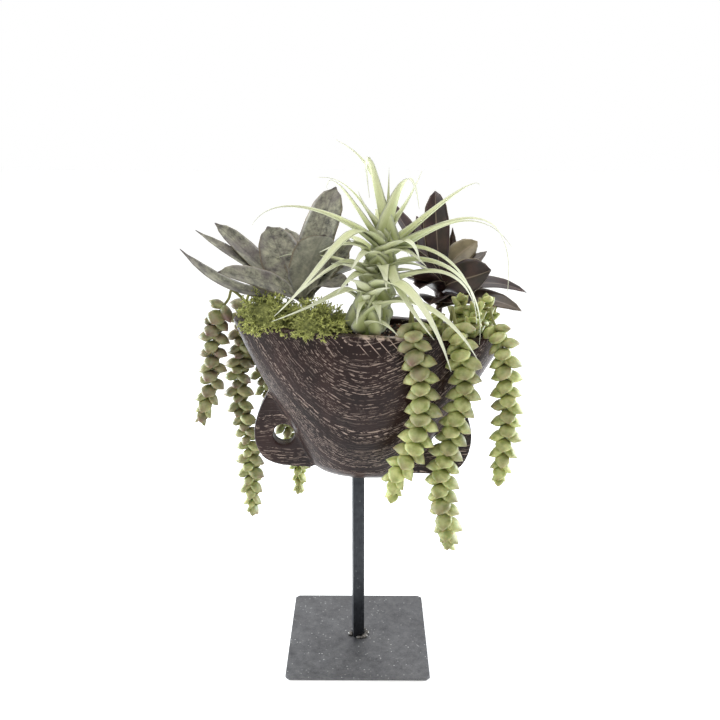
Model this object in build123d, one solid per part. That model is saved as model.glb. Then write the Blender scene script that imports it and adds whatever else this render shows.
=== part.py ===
from build123d import *
import os
from collections import namedtuple
from math import cos, radians, sin, tan

# A hand-carved wooden bell, turned mouth up and used as a planter, on a welded steel stand.
# It is planted with imitation succulents: an air plant, two rosettes and six trailing sedum strands.
# Millimetres. +Z is up, +X is to the right, and -Y is the front. The origin is the centre of the
# base plate's underside.

# ---------------------------------------------------------------- driving dimensions
PLATE_SIDE = 150.0
PLATE_THICKNESS = 3.0
PLATE_CORNER_CLIP = 4.0
BAR_SIDE = 12.0
BAR_TURN = 8.0             # degrees that the square bar is turned about its own length
SEAT_HEIGHT = 200.0        # the bell's crown above the floor
WELD_BLOB_RADIUS = 3.6

BELL_TILT = 3.5            # degrees, right side down
BELL_SHIFT = 2.5           # bell's centre line, right of the bar
MORTISE_DEPTH = 20.0       # square socket in the crown for the bar's end
MORTISE_CLEARANCE = 0.1
CAVITY_FLOOR = 30.0        # above the crown, along the bell's own axis
EAR_THICKNESS = 16.0
EAR_HOLE_RADIUS = 11.0
EAR_HOLE_OUT = 81.0        # hole's centre from the bell's centre line
EAR_HOLE_UP = 41.0

SCREW_SHANK_RADIUS = 2.5
SCREW_HEAD_RADIUS = 4.6
SCREW_HEAD_HEIGHT = 3.4
SCREW_REACH_IN_BAR = 14.0
TAPPED_HOLE_DEPTH = 16.0
SCREW_CLEARANCE = 0.2      # round the shank, in the crown and in the washer
DRIVER_SLOT_WIDTH = 1.2
SPOT_FACE_DEPTH = 1.5      # below the middle of the sloping cavity floor
WASHER_RADIUS = 9.0
WASHER_THICKNESS = 1.2

FOAM_TOP = 146.0
SOIL_TOP = 153.0
LINING_GAP = 0.4           # foam to wood

LEAF_THICKNESS = 1.0
STEM_RADIUS = 1.6          # trailing and upright sedum stems
PICK_DEPTH = 22.0          # of a plant's stem in the foam, below its root
JOINT_GAP = 0.9            # between a strand's fixed and hanging stems
PAIR_SPACING = 7.8         # between sedum leaf pairs
FIRST_PAIR = 9.0           # from the bend to the first pair on a hanging stem
HANG_LEAD = 10.0           # a fixed stem's last straight run, in line with the hanging stem
PAD_BELLY = 0.27           # half a leaf pair's width, as a share of its span
PAD_THICKNESS = 0.17       # its thickness, as a share of its span
STRAND_TAPER = 0.4         # how much smaller the last leaf pair is than the first
SPRIG_TAPER = 0.3
SPRIG_SPAN = 19.0
SPRIG_BARE_STEM = 22.0     # below a sprig's first leaf pair
ARC_SHARE = 0.45           # of the shorter run that each arc of a stem takes

# Height, half length along X and half depth along Y of the bell's elliptical sections.
BELL_OUTSIDE = [(0, 30, 11), (3, 41, 19), (8, 48, 25), (15, 54.5, 31), (30, 62.5, 37),
                (50, 73, 42), (80, 93, 45.5), (110, 111, 47), (135, 124.5, 46), (160, 136, 44)]
BELL_INSIDE = [(30, 44, 21), (50, 60, 29), (80, 80, 33), (110, 98, 35),
               (135, 112, 34.5), (162, 125, 32.5)]
# One ear's outer edge, out from the centre line and up from the crown.
EAR_EDGE = [(97, 90), (104, 74), (109.5, 57), (111, 41), (108.5, 27), (102, 15.5), (91, 9),
            (74, 6.5), (52, 6)]
EAR_ROOT_TOP = (50, 86)    # the ear's inner corners, buried in the body
EAR_ROOT_LOW = (38, 14)

bell_frame = Location((0, 0, SEAT_HEIGHT), (0, BELL_TILT, 0)) * Location((BELL_SHIFT, 0, 0))


def save(node, *solids):
    """Write one node, which holds one solid or a group of separate ones."""
    shape = solids[0] if len(solids) == 1 else Compound(list(solids))
    export_step(shape, f"parts/{node}.step")


def solid_of(shape):
    """The single solid that a build result holds."""
    found = shape.solids()
    assert len(found) == 1, len(found)
    return found[0]


# ---------------------------------------------------------------- stand
def make_base_plate():
    plate = Pos(0, 0, PLATE_THICKNESS / 2) * Box(PLATE_SIDE, PLATE_SIDE, PLATE_THICKNESS)
    return solid_of(chamfer(plate.edges().filter_by(Axis.Z), PLATE_CORNER_CLIP))


def square_post(side, bottom, top):
    middle = (bottom + top) / 2
    return Pos(0, 0, middle) * Rot(0, 0, BAR_TURN) * Box(side, side, top - bottom)


def make_stand_bar():
    top = SEAT_HEIGHT + MORTISE_DEPTH
    bar = square_post(BAR_SIDE, PLATE_THICKNESS, top)
    tapped_hole = Pos(0, 0, top) * Cylinder(SCREW_SHANK_RADIUS, 2 * TAPPED_HOLE_DEPTH)
    return solid_of(bar - tapped_hole)


def make_foot_weld(plate, bar):
    """Five blobs of weld metal: one behind each corner of the bar's foot, and one at the front."""
    spots = [(7.0, -5.2, 1.0), (8.6, 1.8, 1.1), (-7.6, -1.0, 1.0), (-4.0, 7.2, 0.9), (0.6, -7.6, 0.7)]
    blobs = []
    for x, y, size in spots:
        ball = Pos(x, y, PLATE_THICKNESS + 1) * Sphere(WELD_BLOB_RADIUS * size)
        blobs.append(solid_of(ball - plate - bar))
    return blobs


# ---------------------------------------------------------------- bell
def ellipse_loft(sections, shrink=0.0):
    """A solid in carved bands through level ellipses, in the bell's own frame."""
    rings = [Pos(0, 0, height) * Ellipse(a - shrink, b - shrink) for height, a, b in sections]
    return loft(rings, ruled=True)


def ear(side):
    """One flat carved ear with its hanging hole, side +1 for the right and -1 for the left."""
    edge = Spline([Vector(side * out, 0, up) for out, up in EAR_EDGE])
    root = [Vector(side * out, 0, up) for out, up in (EAR_ROOT_LOW, EAR_ROOT_TOP)]
    closing = Polyline(edge @ 1, *root, edge @ 0)
    face = make_face([edge, *closing.edges()])
    return extrude(face, EAR_THICKNESS / 2, dir=(0, 1, 0), both=True)


def make_bell():
    """The carved bell: body, ears, planting cavity, ear holes, mortise and screw hole."""
    body = ellipse_loft(BELL_OUTSIDE) + ear(1) + ear(-1)
    body -= ellipse_loft(BELL_INSIDE)
    for side in (1, -1):
        hole = Cylinder(EAR_HOLE_RADIUS, 4 * EAR_THICKNESS)
        body -= Pos(side * EAR_HOLE_OUT, 0, EAR_HOLE_UP) * Rot(90, 0, 0) * hole
    placed = bell_frame * body
    mortise_top = SEAT_HEIGHT + MORTISE_DEPTH
    placed -= square_post(BAR_SIDE + 2 * MORTISE_CLEARANCE, SEAT_HEIGHT - BAR_SIDE, mortise_top)
    placed -= standing_cylinder(WASHER_RADIUS + 0.5, spot_face_height(), spot_face_height() + 20)
    placed -= standing_cylinder(SCREW_SHANK_RADIUS + SCREW_CLEARANCE, SEAT_HEIGHT, spot_face_height())
    return solid_of(placed)


def standing_cylinder(radius, bottom, top):
    return Pos(0, 0, (bottom + top) / 2) * Cylinder(radius, top - bottom)


def spot_face_height():
    """Level seat for the retaining washer, just under the cavity's sloping floor."""
    return SEAT_HEIGHT + CAVITY_FLOOR - SPOT_FACE_DEPTH


def make_washer():
    bottom = spot_face_height()
    top = bottom + WASHER_THICKNESS
    disc = standing_cylinder(WASHER_RADIUS, bottom, top)
    return solid_of(disc - standing_cylinder(SCREW_SHANK_RADIUS + SCREW_CLEARANCE, bottom, top))


def make_retaining_screw():
    under_head = spot_face_height() + WASHER_THICKNESS
    tip = SEAT_HEIGHT + MORTISE_DEPTH - SCREW_REACH_IN_BAR
    head_top = under_head + SCREW_HEAD_HEIGHT
    shank = standing_cylinder(SCREW_SHANK_RADIUS, tip, under_head)
    head = standing_cylinder(SCREW_HEAD_RADIUS, under_head, head_top)
    driver_slot = Pos(0, 0, head_top) * Box(3 * SCREW_HEAD_RADIUS, DRIVER_SLOT_WIDTH, 2 * DRIVER_SLOT_WIDTH)
    return solid_of(shank + head - driver_slot)


# ---------------------------------------------------------------- planting bed
def bed_slice(low, high):
    """The part of the lined cavity between two heights along the bell's axis."""
    slab = Pos(0, 0, (low + high) / 2) * Box(400, 200, high - low)
    return bell_frame * (ellipse_loft(BELL_INSIDE, LINING_GAP) & slab)


def make_foam(stems):
    seat = spot_face_height()
    fixing_pocket = standing_cylinder(WASHER_RADIUS + 2, seat, seat + 3 * SCREW_HEAD_HEIGHT)
    foam = bed_slice(CAVITY_FLOOR + LINING_GAP, FOAM_TOP) - fixing_pocket
    for stem in stems:
        foam -= stem
    return solid_of(foam)


def make_soil(stems):
    soil = bed_slice(FOAM_TOP, SOIL_TOP)
    for stem in stems:
        soil -= stem
    return solid_of(soil)


Mound = namedtuple("Mound", "name centre half_sizes")
MOSS = [Mound("moss_left", (-87, -10, 369), (25, 20, 22)),
        Mound("moss_front", (-41, -20, 363), (28, 22, 19))]


def make_moss(mound, neighbours):
    """A mound of moss that sits on the soil and the rim, and gives way to everything it touches."""
    lump = Pos(*mound.centre) * scale(Sphere(1), by=mound.half_sizes)
    lump &= bell_frame * Pos(0, 0, SOIL_TOP + 50) * Box(400, 400, 100)
    for neighbour in neighbours:
        lump -= neighbour
    return max(lump.solids(), key=lambda solid: solid.volume)


# ---------------------------------------------------------------- leaves
# A leaf leaves its stem at height foot and grows towards azimuth (0 right, 90 back, 180 left,
# 270 front). rise steers its first stretch, crest is where it is steered over, tip is where it ends:
# each is measured out from and up from the foot. roll turns the blade about its own midrib.
Leaf = namedtuple("Leaf", "azimuth foot rise crest tip width roll", defaults=[0])
STRAP = [(0, 0.8), (0.12, 1.0), (0.3, 0.9), (0.5, 0.72), (0.7, 0.5), (0.85, 0.3), (1, 0.12)]
SPOON = [(0, 0.28), (0.25, 0.45), (0.45, 0.8), (0.65, 1.0), (0.82, 0.88), (0.94, 0.5), (1, 0.12)]
FOOT_SPREAD = 0.15


def midrib(foot, leaf):
    """Control points of the cubic curve along a leaf."""
    out = Vector(cos(radians(leaf.azimuth)), sin(radians(leaf.azimuth)), 0)
    up = Vector(0, 0, 1)
    return [foot,
            foot + out * (FOOT_SPREAD * leaf.tip[0]) + up * leaf.rise,
            foot + out * leaf.crest[0] + up * leaf.crest[1],
            foot + out * leaf.tip[0] + up * leaf.tip[1]]


def on_curve(control, t):
    a, b, c, d = control
    s = 1 - t
    return a * s**3 + b * (3 * s * s * t) + c * (3 * s * t * t) + d * t**3


def along_curve(control, t):
    a, b, c, d = control
    s = 1 - t
    return ((b - a) * (s * s) + (c - b) * (2 * s * t) + (d - c) * (t * t)).normalized()


def blade(foot, leaf, outline, thickness=LEAF_THICKNESS):
    """A leaf as one solid: flat sections set square to its midrib."""
    control = midrib(foot, leaf)
    level = Vector(-sin(radians(leaf.azimuth)), cos(radians(leaf.azimuth)), 0)
    sections = []
    for t, share in outline:
        centre = on_curve(control, t)
        along = along_curve(control, t)
        face = along.cross(level)
        across = level * cos(radians(leaf.roll)) + face * sin(radians(leaf.roll))
        half = across * (leaf.width * share / 2)
        lift = along.cross(across) * (thickness * (0.5 + 0.5 * (1 - t)) / 2)
        corners = [centre + half + lift, centre - half + lift, centre - half - lift, centre + half - lift]
        sections.append(Face(Wire.make_polygon(corners)))
    return solid_of(loft(sections, ruled=True))


Plant = namedtuple("Plant", "name root tip radius outline tiers")


def stem_point(plant, height):
    root, tip = Vector(*plant.root), Vector(*plant.tip)
    return root + (tip - root) * (height / (tip.Z - root.Z))


def plant_stem(plant):
    """A plant's stem, with its straight pick pushed into the foam."""
    root, tip = Vector(*plant.root), Vector(*plant.tip)
    pick = root - (tip - root).normalized() * PICK_DEPTH
    rings = [Plane(pick, z_dir=tip - root) * Circle(plant.radius * 0.8),
             Plane(tip, z_dir=tip - root) * Circle(plant.radius * 0.6)]
    return solid_of(loft(rings))


AIR_PLANT = Plant("air_plant", (8, -22, 352), (28, -24, 448), 6.5, STRAP, {
    "crown_leaves": [Leaf(150, 94, 60, (22, 78), (58, 92), 6),
                     Leaf(215, 92, 4, (32, 144), (20, 44), 11),
                     Leaf(172, 88, 16, (28, 70), (64, 64), 6),
                     Leaf(190, 84, 4, (52, 94), (54, 60), 10),
                     Leaf(205, 86, 26, (18, 30), (28, 56), 10),
                     Leaf(75, 94, 18, (4, 30), (4, 68), 5),
                     Leaf(320, 94, 20, (24, 100), (36, 34), 11),
                     Leaf(20, 92, 20, (20, 30), (34, 66), 9)],
    "upper_leaves": [Leaf(15, 84, 6, (86, 74), (92, 60), 9),
                     Leaf(345, 80, 8, (122, 98), (116, -26), 10),
                     Leaf(8, 78, 2, (80, 70), (124, 8), 7),
                     Leaf(175, 78, 34, (100, 70), (124, 30), 10),
                     Leaf(312, 76, 10, (36, 42), (48, 6), 14),
                     Leaf(335, 74, 32, (90, 22), (94, -48), 8),
                     Leaf(95, 78, 30, (50, 60), (90, 20), 9)],
    "middle_leaves": [Leaf(215, 70, 80, (52, 8), (116, -30), 14),
                      Leaf(157, 62, 4, (87, 36), (133, -6), 6),
                      Leaf(295, 56, 40, (16, 4), (108, -28), 15),
                      Leaf(345, 54, 40, (104, 36), (98, -52), 12),
                      Leaf(70, 60, 36, (60, 50), (95, 0), 9),
                      Leaf(125, 58, 36, (60, 50), (90, 10), 9),
                      Leaf(185, 52, 30, (12, 40), (26, 44), 15),
                      Leaf(265, 62, 26, (10, 40), (20, 46), 15),
                      Leaf(240, 60, 34, (24, 34), (52, 16), 14),
                      Leaf(200, 58, 40, (30, 40), (58, 30), 14),
                      Leaf(320, 60, 34, (26, 36), (54, 18), 14),
                      Leaf(280, 50, 34, (22, 30), (46, 8), 15)],
    "lower_leaves": [Leaf(205, 46, 44, (34, 40), (90, -2), 12),
                     Leaf(295, 40, 40, (104, 26), (144, -30), 12),
                     Leaf(330, 42, 18, (80, 54), (100, 6), 14),
                     Leaf(100, 40, 30, (50, 40), (75, 10), 10),
                     Leaf(255, 34, 30, (12, 40), (24, 40), 17),
                     Leaf(15, 32, 28, (16, 36), (40, 26), 16),
                     Leaf(225, 40, 34, (24, 32), (50, 12), 15),
                     Leaf(310, 34, 34, (24, 32), (50, 12), 15),
                     Leaf(0, 46, 30, (26, 34), (54, 20), 13),
                     Leaf(210, 30, 40, (20, 44), (44, 48), 17),
                     Leaf(330, 26, 40, (22, 44), (46, 46), 17)],
    "base_leaves": [Leaf(212, 20, 50, (16, 26), (104, 12), 13),
                    Leaf(318, 14, 44, (88, 36), (126, -8), 13),
                    Leaf(235, 24, 28, (22, 16), (24, -4), 9),
                    Leaf(298, 6, 18, (28, 20), (58, 12), 9),
                    Leaf(262, 4, 30, (14, 44), (24, 44), 18),
                    Leaf(190, 6, 32, (14, 44), (30, 42), 18),
                    Leaf(345, 8, 30, (14, 42), (32, 36), 17),
                    Leaf(100, 10, 30, (12, 36), (26, 34), 15),
                    Leaf(285, 18, 30, (18, 26), (36, 8), 15),
                    Leaf(240, 14, 40, (20, 44), (40, 52), 18),
                    Leaf(300, 8, 40, (20, 44), (40, 50), 18)]})

GREY_PLANT = Plant("grey_plant", (-56, 6, 350), (-50, 4, 392), 4.5, SPOON, {
    "outer_leaves": [Leaf(190, 30, 32, (56, -14), (118, 58), 22, -20),
                     Leaf(178, 34, 6, (36, 18), (106, 68), 20, -15),
                     Leaf(165, 36, 2, (56, 40), (94, 70), 26, -25),
                     Leaf(208, 28, 16, (48, 34), (88, 42), 26, -40),
                     Leaf(340, 38, 12, (26, 20), (44, 14), 26, 20),
                     Leaf(40, 36, 14, (30, 30), (52, 44), 34, 10),
                     Leaf(22, 34, 14, (30, 24), (54, 30), 28)],
    "inner_leaves": [Leaf(135, 38, 12, (28, 38), (58, 62), 46, -20),
                     Leaf(312, 36, 30, (10, 45), (30, 66), 46, -10),
                     Leaf(52, 40, 35, (20, 68), (46, 100), 40, 10),
                     Leaf(25, 34, 12, (52, 62), (48, 54), 20, 20),
                     Leaf(112, 34, 20, (30, 40), (62, 62), 34)]})

BURGUNDY_PLANT = Plant("burgundy_plant", (80, 22, 350), (84, 20, 402), 5.0, SPOON, {
    "outer_leaves": [Leaf(0, 32, 12, (48, 24), (86, 6), 20, 30),
                     Leaf(345, 22, 12, (46, 18), (82, 2), 26, 30),
                     Leaf(330, 40, 18, (32, 20), (52, 26), 40, 70),
                     Leaf(205, 34, 16, (24, 18), (40, 24), 24, 40),
                     Leaf(75, 30, 12, (30, 24), (60, 26), 30),
                     Leaf(250, 28, 8, (20, 10), (38, 6), 34),
                     Leaf(290, 26, 8, (16, 10), (30, 8), 30, 20),
                     Leaf(230, 36, 12, (20, 16), (36, 12), 34, 10)],
    "inner_leaves": [Leaf(110, 46, 20, (12, 70), (22, 90), 28, -20),
                     Leaf(30, 46, 22, (26, 30), (42, 40), 26, 50),
                     Leaf(12, 44, 20, (28, 18), (46, 34), 22, 20),
                     Leaf(150, 44, 28, (34, 40), (60, 82), 28, -10),
                     Leaf(130, 40, 22, (24, 34), (38, 70), 32, -10),
                     Leaf(178, 42, 12, (22, 22), (38, 44), 32, 30),
                     Leaf(60, 44, 22, (36, 8), (22, 56), 16, 0)]})


def make_plant(plant):
    """Every piece of a plant: its stem, and one group of leaves for each tier."""
    pieces = {f"{plant.name}_stem": [plant_stem(plant)]}
    for tier, leaves in plant.tiers.items():
        blades = [blade(stem_point(plant, leaf.foot), leaf, plant.outline) for leaf in leaves]
        pieces[f"{plant.name}_{tier}"] = blades
    return pieces


# ---------------------------------------------------------------- sedum
# inner is the stem's route from the foam to the rim, and hanging is its route down outside, from the
# bend where it swings. width is the distance between the tips of a pair of leaves near the top.
Strand = namedtuple("Strand", "name inner hanging width")
STRANDS = [
    Strand("strand_left_end", [(-94, -5, 338), (-101, -5, 372)],
           [(-126, -6, 387), (-137, -6, 370), (-143, -6, 340), (-145, -6, 310), (-151, -6, 285),
            (-159, -6, 262)], 24),
    Strand("strand_left_rear", [(-92, 6, 338), (-97, 12, 368)],
           [(-112, 29, 381), (-122, 34, 352), (-122, 33, 322), (-126, 31, 290), (-125, 30, 260),
            (-118, 30, 225), (-117, 30, 185), (-116, 30, 141)], 25),
    Strand("strand_back", [(-78, 8, 340), (-84, 16, 368)],
           [(-92, 36, 380), (-98, 42, 362), (-103, 42, 330), (-102, 42, 288), (-90, 42, 255),
            (-74, 41, 227), (-66, 40, 195), (-66, 40, 160)], 22),
    Strand("strand_front_middle", [(50, -14, 342), (50, -28, 368)],
           [(51, -50, 381), (53, -60, 360), (60, -61, 320), (62, -61, 288), (55, -61, 257),
            (38, -60, 227), (35, -60, 207)], 28),
    Strand("strand_front_right", [(88, -6, 338), (89, -20, 364)],
           [(91, -39, 377), (98, -50, 347), (101, -50, 308), (94, -49, 275), (86, -48, 235),
            (84, -48, 205), (92, -48, 146)], 28),
    Strand("strand_right_end", [(110, -3, 338), (116, -8, 362)],
           [(129, -23, 372), (138, -34, 348), (143, -35, 315), (146, -34, 285), (146, -33, 255),
            (142, -33, 211)], 25)]

# Upright sprigs: foot in the soil, and tip.
SPRIGS = [((98, -2, 345), (99, -14, 391)), ((108, -8, 345), (113, -22, 384)),
          ((116, 4, 345), (124, -10, 388)), ((74, -10, 345), (74, -25, 376)),
          ((100, -12, 345), (110, -27, 374)), ((116, 8, 345), (133, 0, 376))]


def tube(points):
    """A round stem along straight runs that are joined by the widest arcs they leave room for."""
    points = [Vector(*point) for point in points]
    radii = []
    for before, here, after in zip(points, points[1:], points[2:]):
        turn = radians((here - before).get_angle(after - here))
        radii.append(ARC_SHARE * min((here - before).length, (after - here).length) / tan(turn / 2))
    route = FilletPolyline(*points, radius=radii) if radii else Line(*points)
    start = Plane(route @ 0, z_dir=route % 0)
    return solid_of(sweep(start * Circle(STEM_RADIUS), path=route)), route


def leaf_pair(centre, along, across, span, thickness):
    """Two opposite pointed leaves, moulded as one pad that is threaded on the stem."""
    half = span / 2
    belly = PAD_BELLY * span
    upper = ThreePointArc((-half, 0), (0, belly), (half, 0))
    lower = ThreePointArc((half, 0), (0, -belly), (-half, 0))
    pad = Plane(centre, x_dir=across, z_dir=along) * make_face([upper, lower])
    return solid_of(extrude(pad, thickness / 2, both=True))


def threaded_pairs(route, first, span, taper):
    """Leaf pairs along a stem, each turned a quarter turn from the last."""
    count = int((route.length - first) / PAIR_SPACING) + 1
    pads = []
    for index in range(count):
        share = (first + index * PAIR_SPACING) / route.length
        along = route % share
        level = Vector(0, 1, 0).cross(along).normalized()
        turn = 45 + 90 * index
        across = level.rotate(Axis((0, 0, 0), along), turn)
        size = span * (1 - taper * (index / count) ** 2)
        pads.append(leaf_pair(route @ share, along, across, size, PAD_THICKNESS * span))
    return pads


def make_strand(strand):
    """A strand's fixed stem, its hanging stem and its leaf pairs."""
    bend = Vector(*strand.hanging[0])
    down = (Vector(*strand.hanging[1]) - bend).normalized()
    fixed, _ = tube([*strand.inner, bend - down * HANG_LEAD, bend - down * JOINT_GAP])
    hanging, route = tube(strand.hanging)
    return fixed, hanging, threaded_pairs(route, FIRST_PAIR, strand.width, STRAND_TAPER)


def make_sprigs():
    stems, leaves = [], []
    for foot, tip in SPRIGS:
        stem, route = tube([foot, tip])
        stems.append(stem)
        leaves += threaded_pairs(route, SPRIG_BARE_STEM, SPRIG_SPAN, SPRIG_TAPER)
    return stems, leaves


# ---------------------------------------------------------------- everything
def build():
    """Every node's solids, by the node's name."""
    nodes = {}
    plate, bar, bell = make_base_plate(), make_stand_bar(), make_bell()
    nodes["base_plate"] = [plate]
    nodes["stand_bar"] = [bar]
    nodes["foot_weld"] = make_foot_weld(plate, bar)
    nodes["wooden_bell"] = [bell]
    nodes["retaining_washer"] = [make_washer()]
    nodes["retaining_screw"] = [make_retaining_screw()]

    for plant in (AIR_PLANT, GREY_PLANT, BURGUNDY_PLANT):
        nodes.update(make_plant(plant))
    planted = [nodes[f"{plant.name}_stem"][0] for plant in (AIR_PLANT, GREY_PLANT, BURGUNDY_PLANT)]
    for strand in STRANDS:
        fixed, hanging, pairs = make_strand(strand)
        nodes[f"{strand.name}_fixed_stem"] = [fixed]
        nodes[f"{strand.name}_hanging_stem"] = [hanging]
        nodes[f"{strand.name}_leaves"] = pairs
        planted.append(fixed)
    sprig_stems, sprig_leaves = make_sprigs()
    nodes["sprig_stems"] = sprig_stems
    nodes["sprig_leaves"] = sprig_leaves
    planted += sprig_stems

    foam, soil = make_foam(planted), make_soil(planted)
    nodes["floral_foam"] = [foam]
    nodes["soil_dressing"] = [soil]
    neighbours = [bell, *planted]
    for mound in MOSS:
        moss = make_moss(mound, neighbours)
        nodes[mound.name] = [moss]
        neighbours.append(moss)
    return nodes


if __name__ == "__main__":
    os.makedirs("parts", exist_ok=True)
    for node, solids in build().items():
        save(node, *solids)
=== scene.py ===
import random
from collections import namedtuple
from math import cos, pi, radians, sin, sqrt, tau

import bmesh
import bpy
from mathutils import Matrix, Vector, noise


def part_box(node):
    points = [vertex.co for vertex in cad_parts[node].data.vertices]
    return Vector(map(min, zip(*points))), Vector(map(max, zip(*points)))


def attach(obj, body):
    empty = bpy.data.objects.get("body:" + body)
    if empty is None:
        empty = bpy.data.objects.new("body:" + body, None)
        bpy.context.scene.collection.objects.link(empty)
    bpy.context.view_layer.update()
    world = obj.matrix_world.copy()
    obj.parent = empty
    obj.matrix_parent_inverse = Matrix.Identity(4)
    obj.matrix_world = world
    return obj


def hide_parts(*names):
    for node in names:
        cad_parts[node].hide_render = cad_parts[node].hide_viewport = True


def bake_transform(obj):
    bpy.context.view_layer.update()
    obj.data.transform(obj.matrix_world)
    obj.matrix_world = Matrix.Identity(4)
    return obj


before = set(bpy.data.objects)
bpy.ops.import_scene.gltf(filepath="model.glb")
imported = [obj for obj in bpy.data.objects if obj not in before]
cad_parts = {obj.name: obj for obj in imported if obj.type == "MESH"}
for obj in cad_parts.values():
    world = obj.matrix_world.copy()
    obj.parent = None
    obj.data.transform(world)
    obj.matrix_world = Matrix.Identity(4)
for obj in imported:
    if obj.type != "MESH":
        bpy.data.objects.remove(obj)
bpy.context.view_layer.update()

# A dark wooden bell on a steel stand, planted with imitation succulents. Metres, in the frame of the
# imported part: +Z up, +X right, -Y front. Plant tables are in millimetres, as in the part's source.

MM = 0.001
ROOT = "planter"


# ---------------- node graphs
def srgb(red, green, blue):
    """A shader colour from the 0 to 255 values that a screen shows."""
    shares = [value / 255 for value in (red, green, blue)]
    return [s / 12.92 if s < 0.04045 else ((s + 0.055) / 1.055) ** 2.4 for s in shares] + [1]


class Graph:
    """A material's node tree, with one method for each kind of node that this scene uses."""

    def __init__(self, name, **constants):
        self.material = bpy.data.materials.new(name)
        self.material.use_nodes = True
        self.tree = self.material.node_tree
        self.shader = self.tree.nodes["Principled BSDF"]
        for socket, value in constants.items():
            self.shader.inputs[socket.replace("_", " ")].default_value = value

    def node(self, kind, inputs, output=0, **settings):
        made = self.tree.nodes.new(kind)
        for key, value in settings.items():
            setattr(made, key, value)
        for key, value in inputs.items():
            if isinstance(value, bpy.types.NodeSocket):
                self.tree.links.new(value, made.inputs[key])
            else:
                made.inputs[key].default_value = value
        return made.outputs[output]

    def place(self):
        return self.node("ShaderNodeTexCoord", {}, "Object")

    def split(self, vector):
        made = self.node("ShaderNodeSeparateXYZ", {0: vector}).node
        return made.outputs[0], made.outputs[1], made.outputs[2]

    def join(self, x, y, z):
        return self.node("ShaderNodeCombineXYZ", {0: x, 1: y, 2: z})

    def math(self, operation, a, b=0.0):
        return self.node("ShaderNodeMath", {0: a, 1: b}, operation=operation)

    def times(self, a, b):
        return self.math("MULTIPLY", a, b)

    def plus(self, a, b):
        return self.math("ADD", a, b)

    def stretch(self, vector, x, y, z):
        return self.node("ShaderNodeVectorMath", {0: vector, 1: (x, y, z)}, operation="MULTIPLY")

    def noise(self, vector, scale, detail=2.0, roughness=0.5):
        inputs = {"Vector": vector, "Scale": scale, "Detail": detail, "Roughness": roughness}
        return self.node("ShaderNodeTexNoise", inputs, "Fac")

    def cells(self, vector, scale):
        return self.node("ShaderNodeTexVoronoi", {"Vector": vector, "Scale": scale}, "Distance")

    def between(self, value, low, high, to_low=0.0, to_high=1.0):
        inputs = {"Value": value, "From Min": low, "From Max": high, "To Min": to_low, "To Max": to_high}
        return self.node("ShaderNodeMapRange", inputs, "Result")

    def mix(self, share, a, b):
        return self.node("ShaderNodeMix", {0: share, 6: a, 7: b}, 2, data_type="RGBA")

    def attribute(self, name):
        return self.node("ShaderNodeAttribute", {}, "Fac", attribute_name=name)

    def leaf_place(self):
        """How far along a leaf a point is, and how far it is from the midrib."""
        u, v, _ = self.split(self.node("ShaderNodeUVMap", {}, uv_map="leaf"))
        return u, self.math("ABSOLUTE", self.between(v, 0, 1, -1, 1))

    def colour(self, socket):
        self.tree.links.new(socket, self.shader.inputs["Base Color"])

    def roughness(self, socket):
        self.tree.links.new(socket, self.shader.inputs["Roughness"])

    def bump(self, height, depth, strength):
        normal = self.node("ShaderNodeBump", {"Height": height, "Distance": depth, "Strength": strength})
        self.tree.links.new(normal, self.shader.inputs["Normal"])


# ---------------- materials
SEAT = 0.2                 # height of the bell's crown above the floor
RIM_HEIGHT = 0.16          # from the crown to the rim, along the bell's own axis
BELL_TILT = radians(3.5)   # of that axis, right side down
RING_SLANT = 0.2           # how far back a growth ring leans for each metre that it rises
# Each stretch of wear is a pair: where it begins to show, and where it shows in full.
WORN_FROM_LEFT = (-0.002, 0.006)
WORN_FROM_RIGHT = (0.05, 0.036)
WORN_FROM_BACK = (-0.028, -0.034)
WORN_LIP = (RIM_HEIGHT - 0.003, RIM_HEIGHT - 0.0015)
SCRATCHED = (RIM_HEIGHT - 0.019, RIM_HEIGHT - 0.012)
SCRATCH_SPACING = 0.0115
SCRATCH_SLANT = 0.9        # how far right a scratch runs for each metre that it falls


def limed_pores(g, place):
    """Where pale lime shows: dashes in rows along the growth rings, in stronger and weaker bands."""
    x, y, z = g.split(place)
    wander = g.between(g.noise(g.stretch(place, 1, 1, 2), 16, 3), 0, 1, -0.0014, 0.0014)
    depth = g.math("SUBTRACT", g.times(z, RING_SLANT), y)
    ring = g.plus(depth, wander)
    fibre = g.stretch(g.join(x, ring, z), 150, 1600, 300)
    dashes = g.between(g.noise(fibre, 1, 3, 0.65), 0.485, 0.54)
    rows = g.between(g.noise(g.join(0, ring, 0), 2500, 2, 0.6), 0.5, 0.56)
    bands = g.between(g.noise(g.join(0, ring, 0), 260, 1), 0.4, 0.58, 0.08, 1)
    zones = g.between(g.noise(place, 22, 2), 0.35, 0.62, 0.45, 1)
    return g.times(g.times(dashes, rows), g.times(zones, bands))


def worn_rim(g, place):
    """Where the front of the rim is worn pale: a bare lip, with slanting scratches below it."""
    x, y, z = g.split(place)
    height = g.plus(g.times(g.math("SUBTRACT", z, SEAT), cos(BELL_TILT)),
                    g.times(x, sin(BELL_TILT)))
    stretch = g.times(g.between(x, *WORN_FROM_LEFT), g.between(x, *WORN_FROM_RIGHT))
    front = g.between(y, *WORN_FROM_BACK)
    lip = g.times(g.between(height, *WORN_LIP), g.between(g.noise(place, 160, 3), 0.4, 0.55))
    slanted = g.plus(x, g.times(height, SCRATCH_SLANT))
    row = g.math("FRACT", g.math("DIVIDE", slanted, SCRATCH_SPACING))
    scratch = g.times(g.between(row, 0.1, 0.04), g.between(height, *SCRATCHED))
    return g.times(g.times(stretch, front), g.math("MAXIMUM", lip, scratch))


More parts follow.
